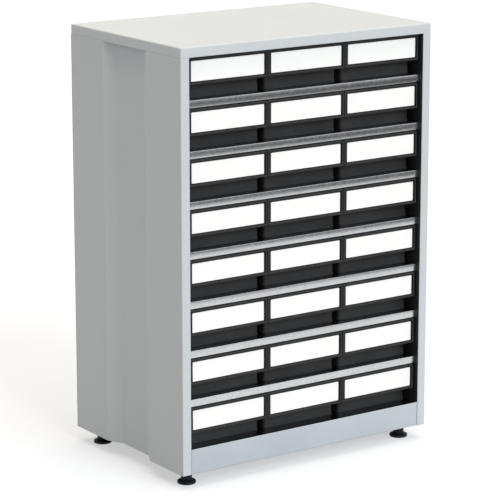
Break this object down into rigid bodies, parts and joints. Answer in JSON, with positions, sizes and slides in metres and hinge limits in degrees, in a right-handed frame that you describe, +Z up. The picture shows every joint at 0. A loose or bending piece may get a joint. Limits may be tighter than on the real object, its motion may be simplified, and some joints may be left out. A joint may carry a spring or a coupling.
{
  "type": "parts bin cabinet",
  "caption": "Free-standing sheet-steel cabinet with rows of pull-out plastic parts bins on galvanised shelves, white label cards and levelling feet.",
  "frame": {"origin": "on the floor, under the middle of the cabinet", "axes": "+X to the viewer's right along the width, +Y from the bin fronts to the back, +Z up"},
  "size_m": [0.6, 0.4, 0.87],
  "materials": {
    "casing_paint": "satin light grey powder coat",
    "zinc_sheet": "galvanised sheet with fine spangle",
    "liner_paint": "matt dark grey coat",
    "bin_plastic": "fine-grained black moulding",
    "label_card": "smooth white card",
    "foot_plastic": "black moulded pad"
  },
  "bodies": {
    "casing": {"top_cover": "casing_paint", "left_side_panel": "casing_paint", "right_side_panel": "casing_paint", "back_panel": "casing_paint", "plinth": "casing_paint", "slotted_liners": "liner_paint", "shelves": "zinc_sheet", "foot_rails": "casing_paint"},
    "bin_1_1": {"bin_row1_col1": "bin_plastic", "label_card_row1_col1": "label_card"},
    "bin_1_2": {"bin_row1_col2": "bin_plastic", "label_card_row1_col2": "label_card"},
    "bin_1_3": {"bin_row1_col3": "bin_plastic", "label_card_row1_col3": "label_card"},
    "bin_2_1": {"bin_row2_col1": "bin_plastic", "label_card_row2_col1": "label_card"},
    "bin_2_2": {"bin_row2_col2": "bin_plastic", "label_card_row2_col2": "label_card"},
    "bin_2_3": {"bin_row2_col3": "bin_plastic", "label_card_row2_col3": "label_card"},
    "bin_3_1": {"bin_row3_col1": "bin_plastic", "label_card_row3_col1": "label_card"},
    "bin_3_2": {"bin_row3_col2": "bin_plastic", "label_card_row3_col2": "label_card"},
    "bin_3_3": {"bin_row3_col3": "bin_plastic", "label_card_row3_col3": "label_card"},
    "bin_4_1": {"bin_row4_col1": "bin_plastic", "label_card_row4_col1": "label_card"},
    "bin_4_2": {"bin_row4_col2": "bin_plastic", "label_card_row4_col2": "label_card"},
    "bin_4_3": {"bin_row4_col3": "bin_plastic", "label_card_row4_col3": "label_card"},
    "bin_5_1": {"bin_row5_col1": "bin_plastic", "label_card_row5_col1": "label_card"},
    "bin_5_2": {"bin_row5_col2": "bin_plastic", "label_card_row5_col2": "label_card"},
    "bin_5_3": {"bin_row5_col3": "bin_plastic", "label_card_row5_col3": "label_card"},
    "bin_6_1": {"bin_row6_col1": "bin_plastic", "label_card_row6_col1": "label_card"},
    "bin_6_2": {"bin_row6_col2": "bin_plastic", "label_card_row6_col2": "label_card"},
    "bin_6_3": {"bin_row6_col3": "bin_plastic", "label_card_row6_col3": "label_card"},
    "bin_7_1": {"bin_row7_col1": "bin_plastic", "label_card_row7_col1": "label_card"},
    "bin_7_2": {"bin_row7_col2": "bin_plastic", "label_card_row7_col2": "label_card"},
    "bin_7_3": {"bin_row7_col3": "bin_plastic", "label_card_row7_col3": "label_card"},
    "bin_8_1": {"bin_row8_col1": "bin_plastic", "label_card_row8_col1": "label_card"},
    "bin_8_2": {"bin_row8_col2": "bin_plastic", "label_card_row8_col2": "label_card"},
    "bin_8_3": {"bin_row8_col3": "bin_plastic", "label_card_row8_col3": "label_card"},
    "foot_front_left": {"levelling_foot_front_left": "foot_plastic"},
    "foot_front_right": {"levelling_foot_front_right": "foot_plastic"},
    "foot_rear_left": {"levelling_foot_rear_left": "foot_plastic"},
    "foot_rear_right": {"levelling_foot_rear_right": "foot_plastic"}
  },
  "joints": [
    {"name": "pull_bin_1_1", "type": "slide", "parent": "casing", "child": "bin_1_1", "axis": [0, -1, 0], "range_m": [0, 0.34]},
    {"name": "pull_bin_1_2", "type": "slide", "parent": "casing", "child": "bin_1_2", "axis": [0, -1, 0], "range_m": [0, 0.34]},
    {"name": "pull_bin_1_3", "type": "slide", "parent": "casing", "child": "bin_1_3", "axis": [0, -1, 0], "range_m": [0, 0.34]},
    {"name": "pull_bin_2_1", "type": "slide", "parent": "casing", "child": "bin_2_1", "axis": [0, -1, 0], "range_m": [0, 0.34]},
    {"name": "pull_bin_2_2", "type": "slide", "parent": "casing", "child": "bin_2_2", "axis": [0, -1, 0], "range_m": [0, 0.34]},
    {"name": "pull_bin_2_3", "type": "slide", "parent": "casing", "child": "bin_2_3", "axis": [0, -1, 0], "range_m": [0, 0.34]},
    {"name": "pull_bin_3_1", "type": "slide", "parent": "casing", "child": "bin_3_1", "axis": [0, -1, 0], "range_m": [0, 0.34]},
    {"name": "pull_bin_3_2", "type": "slide", "parent": "casing", "child": "bin_3_2", "axis": [0, -1, 0], "range_m": [0, 0.34]},
    {"name": "pull_bin_3_3", "type": "slide", "parent": "casing", "child": "bin_3_3", "axis": [0, -1, 0], "range_m": [0, 0.34]},
    {"name": "pull_bin_4_1", "type": "slide", "parent": "casing", "child": "bin_4_1", "axis": [0, -1, 0], "range_m": [0, 0.34]},
    {"name": "pull_bin_4_2", "type": "slide", "parent": "casing", "child": "bin_4_2", "axis": [0, -1, 0], "range_m": [0, 0.34]},
    {"name": "pull_bin_4_3", "type": "slide", "parent": "casing", "child": "bin_4_3", "axis": [0, -1, 0], "range_m": [0, 0.34]},
    {"name": "pull_bin_5_1", "type": "slide", "parent": "casing", "child": "bin_5_1", "axis": [0, -1, 0], "range_m": [0, 0.34]},
    {"name": "pull_bin_5_2", "type": "slide", "parent": "casing", "child": "bin_5_2", "axis": [0, -1, 0], "range_m": [0, 0.34]},
    {"name": "pull_bin_5_3", "type": "slide", "parent": "casing", "child": "bin_5_3", "axis": [0, -1, 0], "range_m": [0, 0.34]},
    {"name": "pull_bin_6_1", "type": "slide", "parent": "casing", "child": "bin_6_1", "axis": [0, -1, 0], "range_m": [0, 0.34]},
    {"name": "pull_bin_6_2", "type": "slide", "parent": "casing", "child": "bin_6_2", "axis": [0, -1, 0], "range_m": [0, 0.34]},
    {"name": "pull_bin_6_3", "type": "slide", "parent": "casing", "child": "bin_6_3", "axis": [0, -1, 0], "range_m": [0, 0.34]},
    {"name": "pull_bin_7_1", "type": "slide", "parent": "casing", "child": "bin_7_1", "axis": [0, -1, 0], "range_m": [0, 0.34]},
    {"name": "pull_bin_7_2", "type": "slide", "parent": "casing", "child": "bin_7_2", "axis": [0, -1, 0], "range_m": [0, 0.34]},
    {"name": "pull_bin_7_3", "type": "slide", "parent": "casing", "child": "bin_7_3", "axis": [0, -1, 0], "range_m": [0, 0.34]},
    {"name": "pull_bin_8_1", "type": "slide", "parent": "casing", "child": "bin_8_1", "axis": [0, -1, 0], "range_m": [0, 0.34]},
    {"name": "pull_bin_8_2", "type": "slide", "parent": "casing", "child": "bin_8_2", "axis": [0, -1, 0], "range_m": [0, 0.34]},
    {"name": "pull_bin_8_3", "type": "slide", "parent": "casing", "child": "bin_8_3", "axis": [0, -1, 0], "range_m": [0, 0.34]},
    {"name": "screw_foot_front_left", "type": "slide", "parent": "casing", "child": "foot_front_left", "axis": [0, 0, 1], "range_m": [-0.012, 0.012]},
    {"name": "screw_foot_front_right", "type": "slide", "parent": "casing", "child": "foot_front_right", "axis": [0, 0, 1], "range_m": [-0.012, 0.012]},
    {"name": "screw_foot_rear_left", "type": "slide", "parent": "casing", "child": "foot_rear_left", "axis": [0, 0, 1], "range_m": [-0.012, 0.012]},
    {"name": "screw_foot_rear_right", "type": "slide", "parent": "casing", "child": "foot_rear_right", "axis": [0, 0, 1], "range_m": [-0.012, 0.012]}
  ]
}
